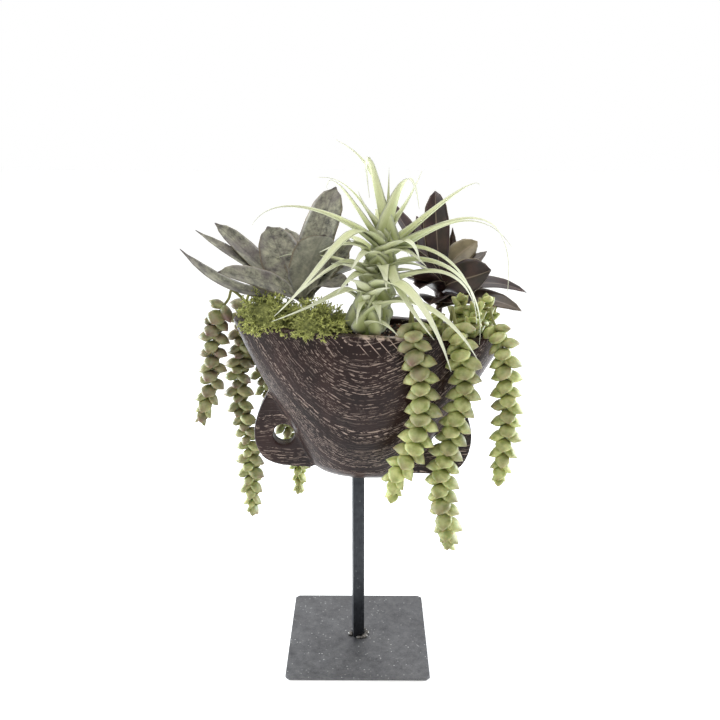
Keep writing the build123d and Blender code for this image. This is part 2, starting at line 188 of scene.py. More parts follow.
def wood_material():
    """Dark stained wood with pale lime in its pores, along the growth rings that carving laid bare."""
    g = Graph("dark_limed_wood", Specular_IOR_Level=0.24)
    place = g.place()
    lime = limed_pores(g, place)
    tone = g.noise(g.stretch(place, 1, 3, 1), 22, 4)
    stain = g.mix(g.between(tone, 0.35, 0.68), srgb(25, 13, 12), srgb(47, 28, 25))
    g.colour(g.mix(g.math("MAXIMUM", lime, worn_rim(g, place)), stain, srgb(198, 176, 162)))
    g.roughness(g.between(g.plus(g.noise(place, 60, 3), lime), 0.3, 1.4, 0.3, 0.6))
    g.bump(g.math("SUBTRACT", g.times(tone, 0.5), lime), 0.0006, 0.5)
    return g.material


def steel_material(name, dark, light, metallic, rough, specks):
    """Bare or oiled steel: cloudy tone, fine mill grain and a few bright specks."""
    g = Graph(name, Metallic=metallic)
    place = g.place()
    cloud = g.noise(place, 34, 5, 0.62)
    grain = g.noise(g.stretch(place, 1, 1, 0.2), 900, 2)
    speck = g.times(g.between(g.cells(place, 230), 0.22, 0.1),
                   g.between(g.noise(place, 70, 2), 0.46, 0.58))
    blotch = g.noise(place, 160, 4, 0.6)
    tone = g.plus(g.times(cloud, 0.3),
                  g.plus(g.times(grain, 0.25), g.times(blotch, 0.45)))
    body = g.mix(g.between(tone, 0.32, 0.66), dark, light)
    g.colour(g.mix(g.times(speck, specks), body, srgb(205, 205, 203)))
    g.roughness(g.between(cloud, 0.3, 0.7, rough - 0.08, rough + 0.12))
    g.bump(grain, 0.0002, 0.25)
    return g.material


def air_leaf_material():
    """Flocked air-plant leaf: yellow green at its base, pale sage further out, with paler edges."""
    g = Graph("air_plant_leaf", Roughness=0.85, Sheen_Weight=0.35, Sheen_Roughness=0.5)
    along, off_rib = g.leaf_place()
    place = g.place()
    outwards = g.plus(along, g.between(g.noise(place, 60, 2), 0, 1, -0.12, 0.12))
    base = g.mix(g.between(outwards, 0.03, 0.42), srgb(148, 158, 90), srgb(198, 202, 154))
    body = g.mix(g.between(outwards, 0.45, 1.0), base, srgb(222, 223, 200))
    edged = g.mix(g.times(g.between(off_rib, 0.62, 1.0), 0.45), body, srgb(222, 224, 194))
    flock = g.noise(place, 1500, 3, 0.7)
    speckled = g.mix(g.between(flock, 0.5, 0.72, 0, 0.34), edged, srgb(130, 140, 88))
    g.colour(g.mix(g.times(g.attribute("tone"), 0.5), speckled, srgb(122, 132, 82)))
    ribs = g.math("SINE", g.times(off_rib, 26))
    g.bump(g.plus(flock, g.times(ribs, 0.25)), 0.0003, 0.6)
    return g.material


def grey_leaf_material():
    """Flocked grey-green leaf with dark mottled veins, a brown edge and a dark tip."""
    g = Graph("grey_rosette_leaf", Roughness=0.8, Sheen_Weight=0.3, Sheen_Roughness=0.5)
    along, off_rib = g.leaf_place()
    place = g.place()
    blotch = g.noise(place, 120, 6, 0.72)
    body = g.mix(g.between(blotch, 0.36, 0.64), srgb(60, 58, 50), srgb(152, 150, 128))
    purple = g.between(g.noise(place, 38, 2), 0.48, 0.66, 0, 0.5)
    tinted = g.mix(purple, body, srgb(96, 84, 88))
    vein_slope = g.times(g.math("SUBTRACT", along, g.times(off_rib, 0.22)), 42)
    veins = g.between(g.plus(g.math("SINE", vein_slope), blotch), 1.3, 1.6, 0, 0.3)
    rib = g.between(off_rib, 0.07, 0.02, 0, 0.5)
    veined = g.mix(g.math("MAXIMUM", veins, rib), tinted, srgb(66, 62, 56))
    under = g.mix(g.times(g.attribute("under"), 0.35), veined, srgb(150, 148, 132))
    edge = g.times(g.between(off_rib, 0.9, 0.98), g.between(along, 0.2, 0.4))
    edged = g.mix(g.times(edge, 0.75), under, srgb(126, 106, 74))
    g.colour(g.mix(g.between(along, 0.965, 0.99), edged, srgb(58, 44, 40)))
    flock = g.noise(place, 1300, 3, 0.7)
    g.bump(g.plus(flock, g.times(veins, -1.2)), 0.0003, 0.55)
    return g.material


def burgundy_leaf_material():
    """Waxy dark maroon leaf with a light midrib line and thin pale edges. Tone 1 is olive brown."""
    g = Graph("burgundy_rosette_leaf", Coat_Weight=0.25, Coat_Roughness=0.25)
    along, off_rib = g.leaf_place()
    place = g.place()
    mottle = g.noise(place, 70, 4, 0.6)
    dark = g.mix(g.between(mottle, 0.36, 0.66), srgb(30, 17, 18), srgb(64, 41, 38))
    pale = g.mix(g.between(mottle, 0.36, 0.66), srgb(112, 100, 74), srgb(150, 138, 104))
    body = g.mix(g.attribute("tone"), dark, pale)
    rib = g.between(off_rib, 0.05, 0.015, 0, 0.55)
    ribbed = g.mix(rib, body, srgb(150, 132, 116))
    edge = g.times(g.between(off_rib, 0.93, 0.99), g.between(along, 0.15, 0.35))
    g.colour(g.mix(g.times(edge, 0.7), ribbed, srgb(186, 172, 146)))
    g.roughness(g.between(mottle, 0.3, 0.7, 0.34, 0.52))
    g.bump(mottle, 0.0005, 0.4)
    return g.material


def sedum_leaf_material():
    """Plump moulded leaf. Tone 0 is a fresh yellow green, and tone 1 is dull olive flushed purple."""
    g = Graph("sedum_leaf", Subsurface_Weight=0.12, Subsurface_Scale=0.003, Specular_IOR_Level=0.45)
    along, _ = g.leaf_place()
    place = g.place()
    tone = g.attribute("tone")
    soft = g.noise(place, 150, 3)
    fresh = g.mix(g.between(soft, 0.35, 0.65), srgb(150, 160, 88), srgb(200, 204, 136))
    ripe = g.mix(g.between(soft, 0.35, 0.65), srgb(86, 84, 58), srgb(136, 130, 96))
    green = g.mix(tone, fresh, ripe)
    patches = g.between(g.noise(place, 75, 2), 0.46, 0.68)
    flush = g.times(patches, g.between(tone, 0.1, 1, 0.1, 0.75))
    flushed = g.mix(flush, green, srgb(104, 72, 74))
    tip = g.times(g.between(along, 0.72, 1.0), g.between(tone, 0, 1, 0.3, 0.8))
    tipped = g.mix(tip, flushed, srgb(118, 84, 76))
    g.colour(g.mix(g.between(along, 0.3, 0.0, 0, 0.35), tipped, srgb(188, 194, 134)))
    g.roughness(g.between(soft, 0.3, 0.7, 0.4, 0.58))
    g.bump(soft, 0.0006, 0.35)
    return g.material


def plain_plant_material(name, dark, light, scale, rough=0.8):
    """Stems, moss, foam and soil: a mottled matt colour, with each piece's own tone laid over it."""
    g = Graph(name)
    place = g.place()
    mottle = g.noise(place, scale, 4, 0.65)
    shade = g.plus(g.times(g.between(mottle, 0.3, 0.7), 0.4),
                   g.times(g.attribute("tone"), 0.6))
    g.colour(g.mix(shade, dark, light))
    g.roughness(g.between(mottle, 0.3, 0.7, rough - 0.1, rough + 0.1))
    g.bump(mottle, 0.0008, 0.5)
    return g.material


def soil_material():
    """Dark bark and coir, with brown chips and a few white grains, by each grain's tone."""
    g = Graph("soil_and_bark", Specular_IOR_Level=0.3)
    place = g.place()
    tone = g.attribute("tone")
    mottle = g.noise(place, 420, 4, 0.7)
    earth = g.mix(g.between(mottle, 0.35, 0.65), srgb(22, 18, 17), srgb(52, 41, 36))
    chips = g.mix(g.between(tone, 0.45, 0.8), earth, srgb(118, 84, 62))
    g.colour(g.mix(g.between(tone, 0.92, 0.95), chips, srgb(214, 208, 196)))
    g.roughness(g.between(mottle, 0.3, 0.7, 0.7, 0.95))
    g.bump(mottle, 0.001, 0.7)
    return g.material


def floor_material():
    # The floor glows faintly white by itself: painted light, over what the lamps give it.
    g = Graph("pale_floor", Roughness=0.9, Emission_Strength=0.3)
    g.shader.inputs["Emission Color"].default_value = (1, 1, 1, 1)
    paper = g.noise(g.place(), 40, 3)
    g.colour(g.mix(g.between(paper, 0.3, 0.7), srgb(246, 246, 245), srgb(250, 250, 249)))
    return g.material


WOOD = wood_material()
PLATE_STEEL = steel_material("plate_steel", srgb(76, 76, 79), srgb(116, 116, 117), 0.9, 0.42, 0.6)
BAR_STEEL = steel_material("bar_steel", srgb(34, 36, 40), srgb(64, 66, 70), 0.7, 0.4, 0.12)
WELD_STEEL = steel_material("weld_steel", srgb(52, 50, 50), srgb(132, 128, 122), 0.9, 0.4, 0.1)
FIXING_STEEL = steel_material("fixing_steel", srgb(150, 150, 150), srgb(190, 190, 190), 1.0, 0.3, 0.1)
AIR_LEAF = air_leaf_material()
GREY_LEAF = grey_leaf_material()
BURGUNDY_LEAF = burgundy_leaf_material()
SEDUM_LEAF = sedum_leaf_material()
SEDUM_STEM = plain_plant_material("sedum_stem", srgb(92, 88, 56), srgb(142, 142, 84), 200)
AIR_STEM = plain_plant_material("air_plant_stem", srgb(96, 112, 52), srgb(150, 164, 88), 90)
GREY_STEM = plain_plant_material("grey_plant_stem", srgb(84, 82, 68), srgb(128, 124, 104), 90)
BURGUNDY_STEM = plain_plant_material("burgundy_plant_stem", srgb(48, 32, 30), srgb(86, 62, 54), 90)
MOSS = plain_plant_material("moss", srgb(48, 56, 14), srgb(244, 248, 150), 260, 0.85)
FOAM = plain_plant_material("floral_foam", srgb(38, 78, 46), srgb(64, 112, 70), 700, 0.9)
SOIL = soil_material()


# ---------------- meshes
class Builder:
    """Vertices and faces that grow into one mesh, with a place on the leaf, a tone and a side each."""

    def __init__(self):
        self.vertices, self.faces, self.spots, self.tones, self.unders = [], [], [], [], []

    def point(self, position, spot=(0.5, 0.5), tone=0.0, under=0.0):
        self.vertices.append(position)
        self.spots.append(spot)
        self.tones.append(tone)
        self.unders.append(under)
        return len(self.vertices) - 1

    def skin(self, rings):
        """Quads between rings of point numbers, closed at both ends."""
        for one, two in zip(rings, rings[1:]):
            count = len(one)
            for k in range(count):
                self.faces.append((one[k], one[(k + 1) % count], two[(k + 1) % count], two[k]))
        self.faces.append(tuple(reversed(rings[0])))
        self.faces.append(tuple(rings[-1]))

    def piece(self, name, material, slot, nodes, body=ROOT, smooth=True):
        mesh = bpy.data.meshes.new(name)
        mesh.from_pydata(self.vertices, [], self.faces)
        layer = mesh.uv_layers.new(name="leaf")
        for loop in mesh.loops:
            layer.data[loop.index].uv = self.spots[loop.vertex_index]
        for label, values in (("tone", self.tones), ("under", self.unders)):
            mesh.attributes.new(label, "FLOAT", "POINT").data.foreach_set("value", values)
        return place_piece(mesh, name, material, nodes, body, smooth)


def add_object(name, data):
    made = bpy.data.objects.new(name, data)
    bpy.context.scene.collection.objects.link(made)
    return made


def place_piece(mesh, name, material, nodes, body, smooth=True):
    mesh.polygons.foreach_set("use_smooth", [smooth] * len(mesh.polygons))
    mesh.materials.clear()
    mesh.materials.append(material)
    made = add_object(name, mesh)
    if nodes:
        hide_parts(*nodes)
    if body:
        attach(made, body)
    return made


def node_corners(node):
    """The low and high corners of a CAD node's box."""
    low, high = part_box(node)
    return Vector(low), Vector(high)


def merged_copy(node):
    """A copy of a CAD node's mesh, and a bmesh of it in which neighbouring faces share vertices."""
    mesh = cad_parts[node].data.copy()
    merged = bmesh.new()
    merged.from_mesh(mesh)
    bmesh.ops.remove_doubles(merged, verts=merged.verts, dist=1e-6)
    return mesh, merged


def fill_mesh(mesh, source):
    """Writes a bmesh into a mesh and frees it."""
    source.to_mesh(mesh)
    source.free()


def apply_modifiers(piece):
    """The piece's mesh with its modifiers worked into it, in place of the piece."""
    bpy.context.view_layer.update()
    evaluated = piece.evaluated_get(bpy.context.evaluated_depsgraph_get())
    mesh = bpy.data.meshes.new_from_object(evaluated)
    bpy.data.objects.remove(piece)
    return mesh


def tube(builder, points, radii, tone, sides=10):
    """A round tube through points, with a radius at each."""
    rings = []
    for index, (here, radius) in enumerate(zip(points, radii)):
        before = points[max(index - 1, 0)]
        after = points[min(index + 1, len(points) - 1)]
        turn = (after - before).normalized().to_track_quat("Z", "Y")
        along = index / (len(points) - 1)
        ring = []
        for k in range(sides):
            angle = tau * k / sides
            offset = turn @ Vector((cos(angle) * radius, sin(angle) * radius, 0))
            ring.append(builder.point(here + offset, (along, k / sides), tone))
        rings.append(ring)
    builder.skin(rings)


def spline(points, steps):
    """Points along a smooth curve through the given ones, with steps to each stretch."""
    ends = [points[0] * 2 - points[1], *points, points[-1] * 2 - points[-2]]
    found = []
    for a, b, c, d in zip(ends, ends[1:], ends[2:], ends[3:]):
        for step in range(steps):
            t = step / steps
            found.append(0.5 * (2 * b + (c - a) * t + (2 * a - 5 * b + 4 * c - d) * t * t
                                + (3 * b - a - 3 * c + d) * t**3))
    return [*found, points[-1]]


def millimetres(points):
    return [Vector(point) * MM for point in points]


# ---------------- bell
BELL_VOXEL = 0.0013
BELL_SMOOTHING = 9         # passes
TOOL_MARK_HEIGHT = 0.0005
TOOL_MARK_SCALE = 34


def carved_bell():
    """The bell as the carver left it: the same body, with its edges and tool facets worn soft."""
    mesh, merged = merged_copy("wooden_bell")
    fill_mesh(mesh, merged)
    rough = add_object("rough_bell", mesh)
    remesh = rough.modifiers.new("one_skin", "REMESH")
    remesh.mode = "VOXEL"
    remesh.voxel_size = BELL_VOXEL
    smooth = rough.modifiers.new("worn", "SMOOTH")
    smooth.iterations = BELL_SMOOTHING
    smooth.factor = 0.5
    carved = apply_modifiers(rough)
    normals = [vertex.normal.copy() for vertex in carved.vertices]
    for vertex, normal in zip(carved.vertices, normals):
        vertex.co += normal * (noise.noise(vertex.co * TOOL_MARK_SCALE) * TOOL_MARK_HEIGHT)
    place_piece(carved, "carved_bell", WOOD, ["wooden_bell"], ROOT)


# ---------------- stand
FLAT_ANGLE = radians(2)    # faces that meet at less than this become one
SHARP_ANGLE = radians(30)  # edges over this are broken


def softened_copy(node, name, material, width):
    """A steel piece with its sharp edges broken."""
    mesh, steel = merged_copy(node)
    bmesh.ops.dissolve_limit(steel, angle_limit=FLAT_ANGLE, verts=steel.verts, edges=steel.edges)
    sharp = [edge for edge in steel.edges if edge.is_manifold and edge.calc_face_angle() > SHARP_ANGLE]
    bmesh.ops.bevel(steel, geom=sharp, offset=width, segments=3, profile=0.5, affect="EDGES")
    fill_mesh(mesh, steel)
    place_piece(mesh, name, material, [node], ROOT)


# x, y and radius of each lump, in millimetres
WELD_LUMPS = [(7.0, -5.2, 3.8), (8.8, 0.8, 3.8), (-7.6, -1.2, 3.6), (-4.0, 7.2, 3.2), (0.6, -7.4, 2.4),
              (3.8, -7.2, 2.2), (7.0, 6.0, 2.8)]
WELD_HEIGHT = 0.0036       # of the lumps' centres above the floor
WELD_FLATNESS = 0.75       # a lump's height, as a share of its width
WELD_BUMP = 0.0008
WELD_BUMP_SCALE = 420


def weld_bead():
    """Lumpy beads of weld round the bar's foot."""
    bead = bmesh.new()
    low, high = node_corners("foot_weld")
    middle = (low + high) / 2
    flatten = Matrix.Diagonal((1, 1, WELD_FLATNESS, 1))
    for x, y, size in WELD_LUMPS:
        matrix = Matrix.Translation((x * MM, y * MM, WELD_HEIGHT)) @ flatten
        made = bmesh.ops.create_icosphere(bead, subdivisions=3, radius=size * MM, matrix=matrix)
        for vertex in made["verts"]:
            bump = noise.noise(vertex.co * WELD_BUMP_SCALE) * WELD_BUMP
            vertex.co += (vertex.co - middle).normalized() * bump
            vertex.co.z = max(vertex.co.z, low.z)
    mesh = bpy.data.meshes.new("weld_bead")
    fill_mesh(mesh, bead)
    place_piece(mesh, "weld_bead", WELD_STEEL, ["foot_weld"], ROOT)


# ---------------- leaves
# As in the part's source: a leaf leaves its stem at height foot and grows towards azimuth (0 right,
# 90 back, 180 left, 270 front). rise steers its first stretch, crest is where it is steered over and
# tip is where it ends, each out from and up from the foot. roll turns the blade about its midrib,
# and tone is for the leaf's material to read.
Leaf = namedtuple("Leaf", "azimuth foot rise crest tip width roll tone", defaults=[0, 0])
# outline: how wide the blade is along its length, as a share of the leaf's width. channel: depth of
# the U section. ripple: wave of the edge. pinch: keel fold along the midrib. thickness: millimetres.
Form = namedtuple("Form", "outline channel ripple pinch thickness")
STRAP = Form([(0, 2.0), (0.08, 2.6), (0.22, 2.15), (0.38, 1.4), (0.55, 0.95), (0.7, 0.62), (0.85, 0.34),
              (1, 0.04)], 0.6, 0.05, 0.0, 0.9)
SPOON = Form([(0, 0.3), (0.2, 0.5), (0.38, 0.84), (0.56, 1.04), (0.72, 1.06), (0.85, 0.86),
              (0.94, 0.5), (0.975, 0.16), (1, 0.04)], 0.24, 0.1, 0.12, 1.3)
ROUND = Form([(0, 0.45), (0.12, 0.66), (0.28, 0.92), (0.45, 1.06), (0.65, 1.08), (0.8, 0.92),
              (0.92, 0.58), (0.975, 0.16), (1, 0.04)], 0.2, 0.12, 0.1, 1.3)
WAXY = Form([(0, 0.35), (0.2, 0.6), (0.45, 0.92), (0.62, 1.0), (0.8, 0.82), (0.92, 0.46), (1, 0.04)],
            0.3, 0.04, 0.22, 1.8)
FOOT_SPREAD = 0.15         # how far out rise steers a leaf, as a share of its tip's reach
BLADE_STEPS = 30           # sections along a blade
BLADE_COLUMNS = 8          # faces across each side of it
MOST_SWAY = 0.125          # of a blade to either side, as a share of its width
RIPPLES = 9                # radians of edge wave along a blade
BEND_REACH = 0.06          # share of a blade, each way, over which its bend is read
OPEN_BY_BEND = 1.4         # how fast a channel opens where its blade bends
MOST_OPEN = 0.75
THINNING = 0.5             # share of a blade's thickness that is gone at its tip
NARROWING = 0.22           # how far a channel draws its blade's edges in


def midrib(foot, leaf):
    """The control points of a leaf's midrib."""
    out = Vector((cos(radians(leaf.azimuth)), sin(radians(leaf.azimuth)), 0)) * MM
    up = Vector((0, 0, MM))
    return [foot,
            foot + out * (FOOT_SPREAD * leaf.tip[0]) + up * leaf.rise,
            foot + out * leaf.crest[0] + up * leaf.crest[1],
            foot + out * leaf.tip[0] + up * leaf.tip[1]]


def on_curve(control, t):
    """The point that is t along the curve with these four control points."""
    a, b, c, d = control
    s = 1 - t
    return a * s**3 + b * (3 * s * s * t) + c * (3 * s * t * t) + d * t**3


def along_curve(control, t):
    """The direction of that curve there."""
    a, b, c, d = control
    s = 1 - t
    return ((b - a) * (s * s) + (c - b) * (2 * s * t) + (d - c) * (t * t)).normalized()


def eased(table, t):
    """A smooth reading between the rows of an outline."""
    for (t0, v0), (t1, v1) in zip(table, table[1:]):
        if t <= t1:
            s = (t - t0) / (t1 - t0)
            return v0 + (v1 - v0) * (s + s * s * (3 - 2 * s)) / 2
    return table[-1][1]


def blade_section(form, half, channel, thickness, wave_phase):
    """A blade's section: for each point, how far across and how far up it is, its v and its side.

    v runs from -1 at one edge to 1 at the other. The section goes over the top and back underneath.
    """
    for k in range(2 * BLADE_COLUMNS):
        under = k > BLADE_COLUMNS
        v = 1 - 2 * (k - BLADE_COLUMNS) / BLADE_COLUMNS if under else 2 * k / BLADE_COLUMNS - 1
        cup = channel * v * v + form.pinch * (abs(v) - v * v)
        wave = form.ripple * abs(v) ** 3 * sin(wave_phase + (2 if v > 0 else 0))
        skin = thickness / 2 * sqrt(max(1 - v * v, 0))
        lift = half * (cup + wave) + (-skin if under else skin)
        yield half * v * (1 - NARROWING * channel * v * v), lift, v, under


def bend_at(control, t):
    """How sharply a midrib bends round one of its points."""
    after = along_curve(control, min(t + BEND_REACH, 1))
    before = along_curve(control, max(t - BEND_REACH, 0))
    return (after - before).length


def grow_leaf(builder, foot, leaf, form, dice):
    """One leaf as a closed thin solid with a channelled, keeled or rippled section."""
    control = midrib(foot, leaf)
    level = Vector((-sin(radians(leaf.azimuth)), cos(radians(leaf.azimuth)), 0))
    roll = radians(leaf.roll)
    phase = dice.random() * tau
    sway = dice.uniform(-MOST_SWAY, MOST_SWAY) * leaf.width * MM
    rings = []
    for step in range(BLADE_STEPS + 1):
        t = step / BLADE_STEPS
        along = along_curve(control, t)
        across = level * cos(roll) + along.cross(level) * sin(roll)
        normal = along.cross(across)
        centre = on_curve(control, t) + across * (sway * sin(pi * t))
        half = leaf.width * MM * eased(form.outline, t) / 2
        channel = form.channel * (1 - min(bend_at(control, t) * OPEN_BY_BEND, MOST_OPEN))
        thickness = form.thickness * MM * (1 - THINNING * t)
        ring = []
        for reach, lift, v, under in blade_section(form, half, channel, thickness, RIPPLES * t + phase):
            position = centre + across * reach + normal * lift
            ring.append(builder.point(position, (t, (v + 1) / 2), leaf.tone, float(under)))
        rings.append(ring)
    builder.skin(rings)


# forms gives the form of each tier's leaves, in the order of the tiers.
Plant = namedtuple("Plant", "name root tip radius forms leaf_material stem_material slot tiers")

AIR_PLANT = Plant("air_plant", (8, -22, 352), (28, -24, 448), 6.5, [STRAP] * 5, AIR_LEAF, AIR_STEM,
                  "air_leaf", {
    "crown_leaves": [
        Leaf(150, 94, 60, (22, 78), (58, 92), 6),
        Leaf(215, 92, 4, (32, 144), (20, 44), 11),
        Leaf(172, 88, 16, (28, 70), (64, 64), 6),
        Leaf(190, 84, 4, (52, 94), (54, 60), 10),
        Leaf(205, 86, 26, (18, 30), (28, 56), 10),
        Leaf(75, 94, 18, (4, 30), (4, 68), 5),
        Leaf(320, 94, 20, (24, 100), (36, 34), 11),
        Leaf(20, 92, 20, (20, 30), (34, 66), 9)],
    "upper_leaves": [
        Leaf(15, 84, 6, (86, 74), (92, 60), 9),
        Leaf(345, 80, 8, (122, 98), (116, -26), 10),
        Leaf(8, 78, 2, (80, 70), (124, 8), 7),
        Leaf(175, 78, 34, (100, 70), (124, 30), 10),
        Leaf(312, 76, 10, (36, 42), (48, 6), 14),
        Leaf(335, 74, 32, (90, 22), (94, -48), 8),
        Leaf(95, 78, 30, (50, 60), (90, 20), 9)],
    "middle_leaves": [
        Leaf(215, 70, 80, (52, 8), (116, -30), 14),
        Leaf(157, 62, 4, (87, 36), (133, -6), 6),
        Leaf(295, 56, 40, (16, 4), (108, -28), 15),
        Leaf(345, 54, 40, (104, 36), (98, -52), 12),
        Leaf(70, 60, 36, (60, 50), (95, 0), 9),
        Leaf(125, 58, 36, (60, 50), (90, 10), 9),
        Leaf(185, 52, 30, (12, 40), (26, 44), 15),
        Leaf(265, 62, 26, (10, 40), (20, 46), 15),
        Leaf(240, 60, 34, (24, 34), (52, 16), 14),
        Leaf(200, 58, 40, (30, 40), (58, 30), 14),
        Leaf(320, 60, 34, (26, 36), (54, 18), 14),
        Leaf(280, 50, 34, (22, 30), (46, 8), 15)],
    "lower_leaves": [
        Leaf(205, 46, 44, (34, 40), (90, -2), 12),
        Leaf(295, 40, 40, (104, 26), (144, -30), 12),
        Leaf(330, 42, 18, (80, 54), (100, 6), 14),
        Leaf(100, 40, 30, (50, 40), (75, 10), 10),
        Leaf(255, 34, 30, (12, 40), (24, 40), 17),
        Leaf(15, 32, 28, (16, 36), (40, 26), 16),
        Leaf(225, 40, 34, (24, 32), (50, 12), 15),
        Leaf(310, 34, 34, (24, 32), (50, 12), 15),
        Leaf(0, 46, 30, (26, 34), (54, 20), 13),
        Leaf(210, 30, 40, (20, 44), (44, 48), 17),
        Leaf(330, 26, 40, (22, 44), (46, 46), 17)],
    "base_leaves": [
        Leaf(212, 20, 50, (16, 26), (104, 12), 13),
        Leaf(318, 14, 44, (88, 36), (126, -8), 13),
        Leaf(235, 24, 28, (22, 16), (24, -4), 9),
        Leaf(298, 6, 18, (28, 20), (58, 12), 9),
        Leaf(262, 4, 30, (14, 44), (24, 44), 18),
        Leaf(190, 6, 32, (14, 44), (30, 42), 18),
        Leaf(345, 8, 30, (14, 42), (32, 36), 17),
        Leaf(100, 10, 30, (12, 36), (26, 34), 15),
        Leaf(285, 18, 30, (18, 26), (36, 8), 15),
        Leaf(240, 14, 40, (20, 44), (40, 52), 18),
        Leaf(300, 8, 40, (20, 44), (40, 50), 18)]})

GREY_PLANT = Plant("grey_plant", (-56, 6, 350), (-50, 4, 392), 4.5, [SPOON, ROUND], GREY_LEAF, GREY_STEM,
                   "grey_leaf", {
    "outer_leaves": [
        Leaf(190, 30, 32, (56, -14), (118, 58), 22, -20),
        Leaf(178, 34, 6, (36, 18), (106, 68), 20, -15),
        Leaf(165, 36, 2, (56, 40), (94, 70), 26, -25),
        Leaf(208, 28, 16, (48, 34), (88, 42), 26, -40),
        Leaf(340, 38, 12, (26, 20), (44, 14), 26, 20),
        Leaf(40, 36, 14, (30, 30), (52, 44), 34, 10),
        Leaf(22, 34, 14, (30, 24), (54, 30), 28)],
    "inner_leaves": [
        Leaf(135, 38, 12, (28, 38), (58, 62), 46, -20),
        Leaf(312, 36, 30, (10, 45), (30, 66), 46, -10),
        Leaf(52, 40, 35, (20, 68), (46, 100), 40, 10),
        Leaf(25, 34, 12, (52, 62), (48, 54), 20, 20),
        Leaf(112, 34, 20, (30, 40), (62, 62), 34)]})

BURGUNDY_PLANT = Plant("burgundy_plant", (80, 22, 350), (84, 20, 402), 5.0, [WAXY, WAXY], BURGUNDY_LEAF,
                       BURGUNDY_STEM, "burgundy_leaf", {
    "outer_leaves": [
        Leaf(0, 32, 12, (48, 24), (86, 6), 20, 30),
        Leaf(345, 22, 12, (46, 18), (82, 2), 26, 30, 0.2),
        Leaf(330, 40, 18, (32, 20), (52, 26), 40, 70),
        Leaf(205, 34, 16, (24, 18), (40, 24), 24, 40),
        Leaf(75, 30, 12, (30, 24), (60, 26), 30, 0, 0.3),
        Leaf(250, 28, 8, (20, 10), (38, 6), 34),
        Leaf(290, 26, 8, (16, 10), (30, 8), 30, 20),
        Leaf(230, 36, 12, (20, 16), (36, 12), 34, 10)],
    "inner_leaves": [
        Leaf(110, 46, 20, (12, 70), (22, 90), 28, -20),
        Leaf(30, 46, 22, (26, 30), (42, 40), 26, 50, 0.75),
        Leaf(12, 44, 20, (28, 18), (46, 34), 22, 20, 0.15),
        Leaf(150, 44, 28, (34, 40), (60, 82), 28, -10),
        Leaf(130, 40, 22, (24, 34), (38, 70), 32, -10),
        Leaf(178, 42, 12, (22, 22), (38, 44), 32, 30),
        Leaf(60, 44, 22, (36, 8), (22, 56), 16, 0, 0.1)]})


STEM_STEPS = 10
STEM_ROOT = 0.8            # radius of a stem's root, as a share of the plant's own
STEM_TAPER = 0.45          # how much less that share is at the tip
KNOT_SWELL = 0.12
KNOTS = 19                 # radians of swelling along a stem


def grow_plant(plant, seed):
    dice = random.Random(seed)
    root, tip = millimetres([plant.root, plant.tip])
    for form, (tier, leaves) in zip(plant.forms, plant.tiers.items()):
        builder = Builder()
        for leaf in leaves:
            foot = root + (tip - root) * (leaf.foot * MM / (tip.z - root.z))
            grow_leaf(builder, foot, leaf, form, dice)
        node = f"{plant.name}_{tier}"
        builder.piece(f"{node}_blades", plant.leaf_material, plant.slot, [node])
    stem = Builder()
    shares = [step / STEM_STEPS for step in range(STEM_STEPS + 1)]
    points = [root + (tip - root) * share for share in shares]
    radii = [plant.radius * MM * (STEM_ROOT - STEM_TAPER * share) * (1 + KNOT_SWELL * sin(KNOTS * share))
             for share in shares]
    tube(stem, points, radii, 0.4, 14)
    stem.piece(f"{plant.name}_core", plant.stem_material, plant.slot, [f"{plant.name}_stem"])


# ---------------- sedum
# The points of each route are the ones that the part's source uses. The pair after the width is the tone
# of the leaves at the bend and at the tip; most strands are darker and duller at the bend. turn_from and
# turn_to bound the stretch that gives as the strand swings.
Strand = namedtuple("Strand", "name inner hanging width ripe turn_from turn_to")
STRANDS = [
    Strand("strand_left_end", [(-94, -5, 338), (-101, -5, 372)],
           [(-126, -6, 387), (-137, -6, 370), (-143, -6, 340), (-145, -6, 310), (-151, -6, 285),
            (-159, -6, 262)], 24, (0.95, 0.6), (-125, 0, 0), (-135, 0, 0)),
    Strand("strand_left_rear", [(-92, 6, 338), (-97, 12, 368)],
           [(-112, 29, 381), (-122, 34, 352), (-122, 33, 322), (-126, 31, 290), (-125, 30, 260),
            (-118, 30, 225), (-117, 30, 185), (-116, 30, 141)], 25, (1.0, 0.35), (-111, 0, 0),
           (-115, 0, 0)),
    Strand("strand_back", [(-78, 8, 340), (-84, 16, 368)],
           [(-92, 36, 380), (-98, 42, 362), (-103, 42, 330), (-102, 42, 288), (-90, 42, 255),
            (-74, 41, 227), (-66, 40, 195), (-66, 40, 160)], 22, (1.0, 0.15), (0, 35, 0), (0, 39, 0)),
    Strand("strand_front_middle", [(50, -14, 342), (50, -28, 368)],
           [(51, -50, 381), (53, -60, 360), (60, -61, 320), (62, -61, 288), (55, -61, 257),
            (38, -60, 227), (35, -60, 207)], 28, (0.7, 0.05), (0, -48, 0), (0, -58, 0)),
    Strand("strand_front_right", [(88, -6, 338), (89, -20, 364)],
           [(91, -39, 377), (98, -50, 347), (101, -50, 308), (94, -49, 275), (86, -48, 235),
            (84, -48, 205), (92, -48, 146)], 28, (0.3, 0.3), (0, -39, 0), (0, -46, 0)),
    Strand("strand_right_end", [(110, -3, 338), (116, -8, 362)],
           [(129, -23, 372), (138, -34, 348), (143, -35, 315), (146, -34, 285), (146, -33, 255),
            (142, -33, 211)], 25, (0.35, 0.1), (0, -23, 0), (0, -31, 0))]
HANG_LEAD = 10.0           # a strand's last straight run before its hanging stem
STEM_RADIUS = 1.6
PAIR_SPACING = 7.8
TIP_SPACING = 5.2
TIP_STRETCH = 42.0         # of a strand's end, where its leaves close up
FIRST_PAIR = 9.0
PAIR_TURN = 14             # degrees, of the first pair from straight out to the side
LEAF_SHARE = 0.66          # of the strand's width that one leaf's length is
TIP_SHORTENING = 0.45      # of that length that is gone at the strand's tip
